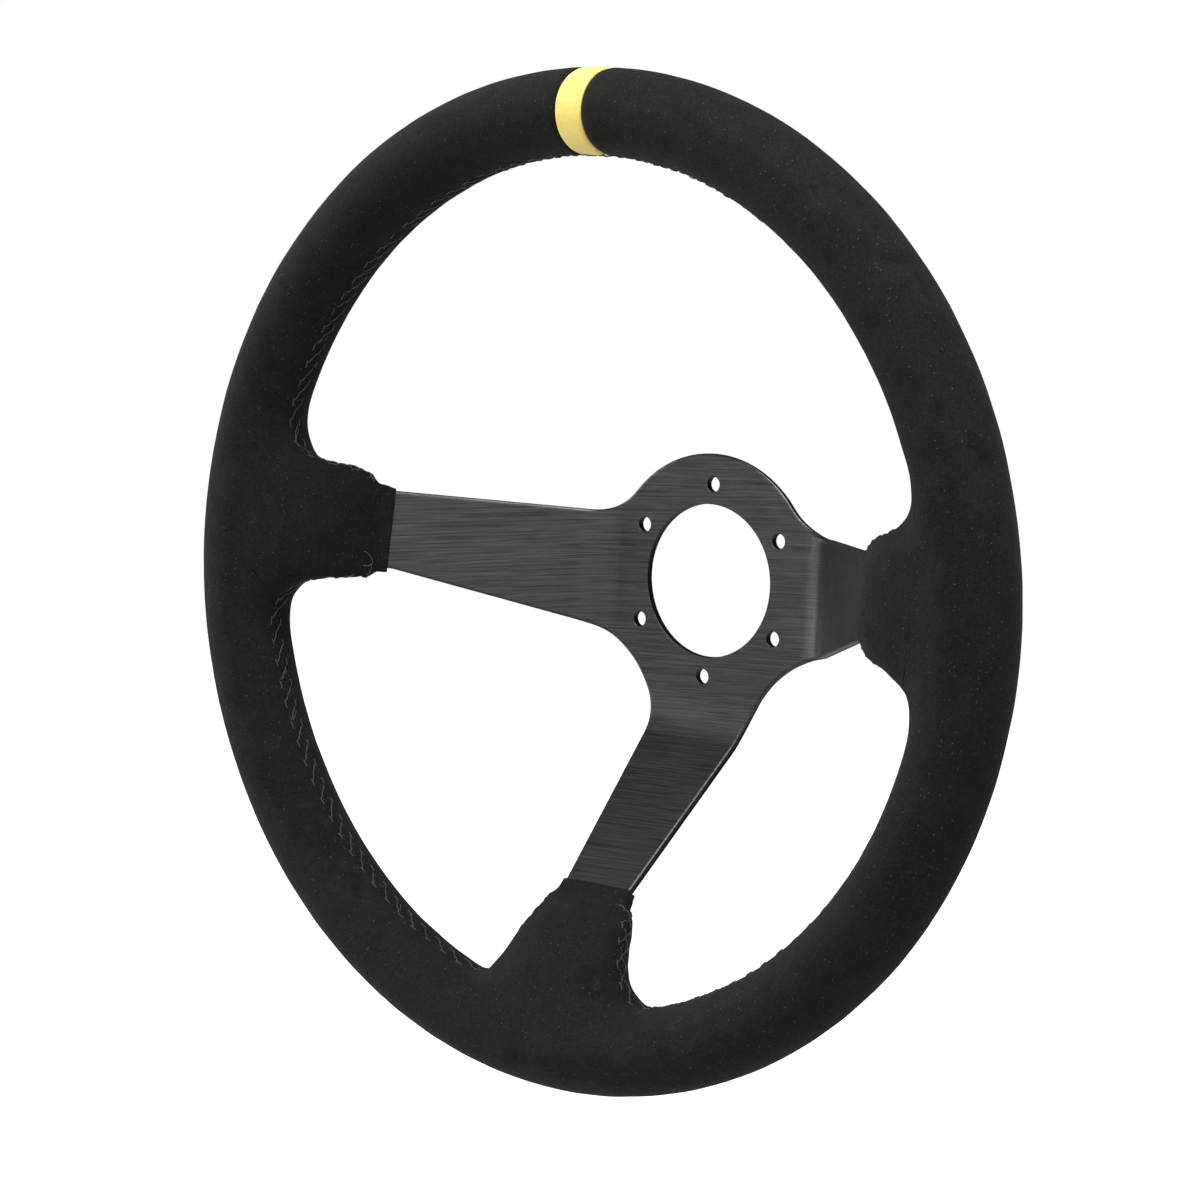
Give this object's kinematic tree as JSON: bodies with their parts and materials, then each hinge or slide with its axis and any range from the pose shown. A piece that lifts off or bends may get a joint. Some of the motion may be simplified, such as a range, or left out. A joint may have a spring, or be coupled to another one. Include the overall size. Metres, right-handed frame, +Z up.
{
  "type": "steering wheel",
  "caption": "Deep-dish motorsport steering wheel: round suede-covered foam rim with a centre marker, bent flat metal spokes and an open hub disc with bolt holes.",
  "frame": {"origin": "centre of the hub bore, on the rear face of the hub disc, which seats against the column boss", "axes": "+Y along the steering column, away from the driver; +Z up with the wheel straight ahead, through the centre marker; +X to the driver's right"},
  "size_m": [0.35, 0.0953, 0.35],
  "materials": {
    "spoke_metal": "brushed dark anodised",
    "ring_metal": "mill finish",
    "rivet_metal": "plain",
    "foam": "moulded foam",
    "suede": "napped suede",
    "marker_suede": "smooth suede",
    "lacing_thread": "waxed polyester thread"
  },
  "bodies": {
    "root": {"spoke_plate": "spoke_metal", "rim_ring": "ring_metal", "foam_grip": "foam", "suede_cover": "suede", "centre_marker": "marker_suede", "lacing_top": "lacing_thread", "lacing_lower_left": "lacing_thread", "lacing_lower_right": "lacing_thread", "rivet_right_1": "rivet_metal", "rivet_right_2": "rivet_metal", "rivet_left_1": "rivet_metal", "rivet_left_2": "rivet_metal", "rivet_lower_1": "rivet_metal", "rivet_lower_2": "rivet_metal"}
  },
  "joints": []
}
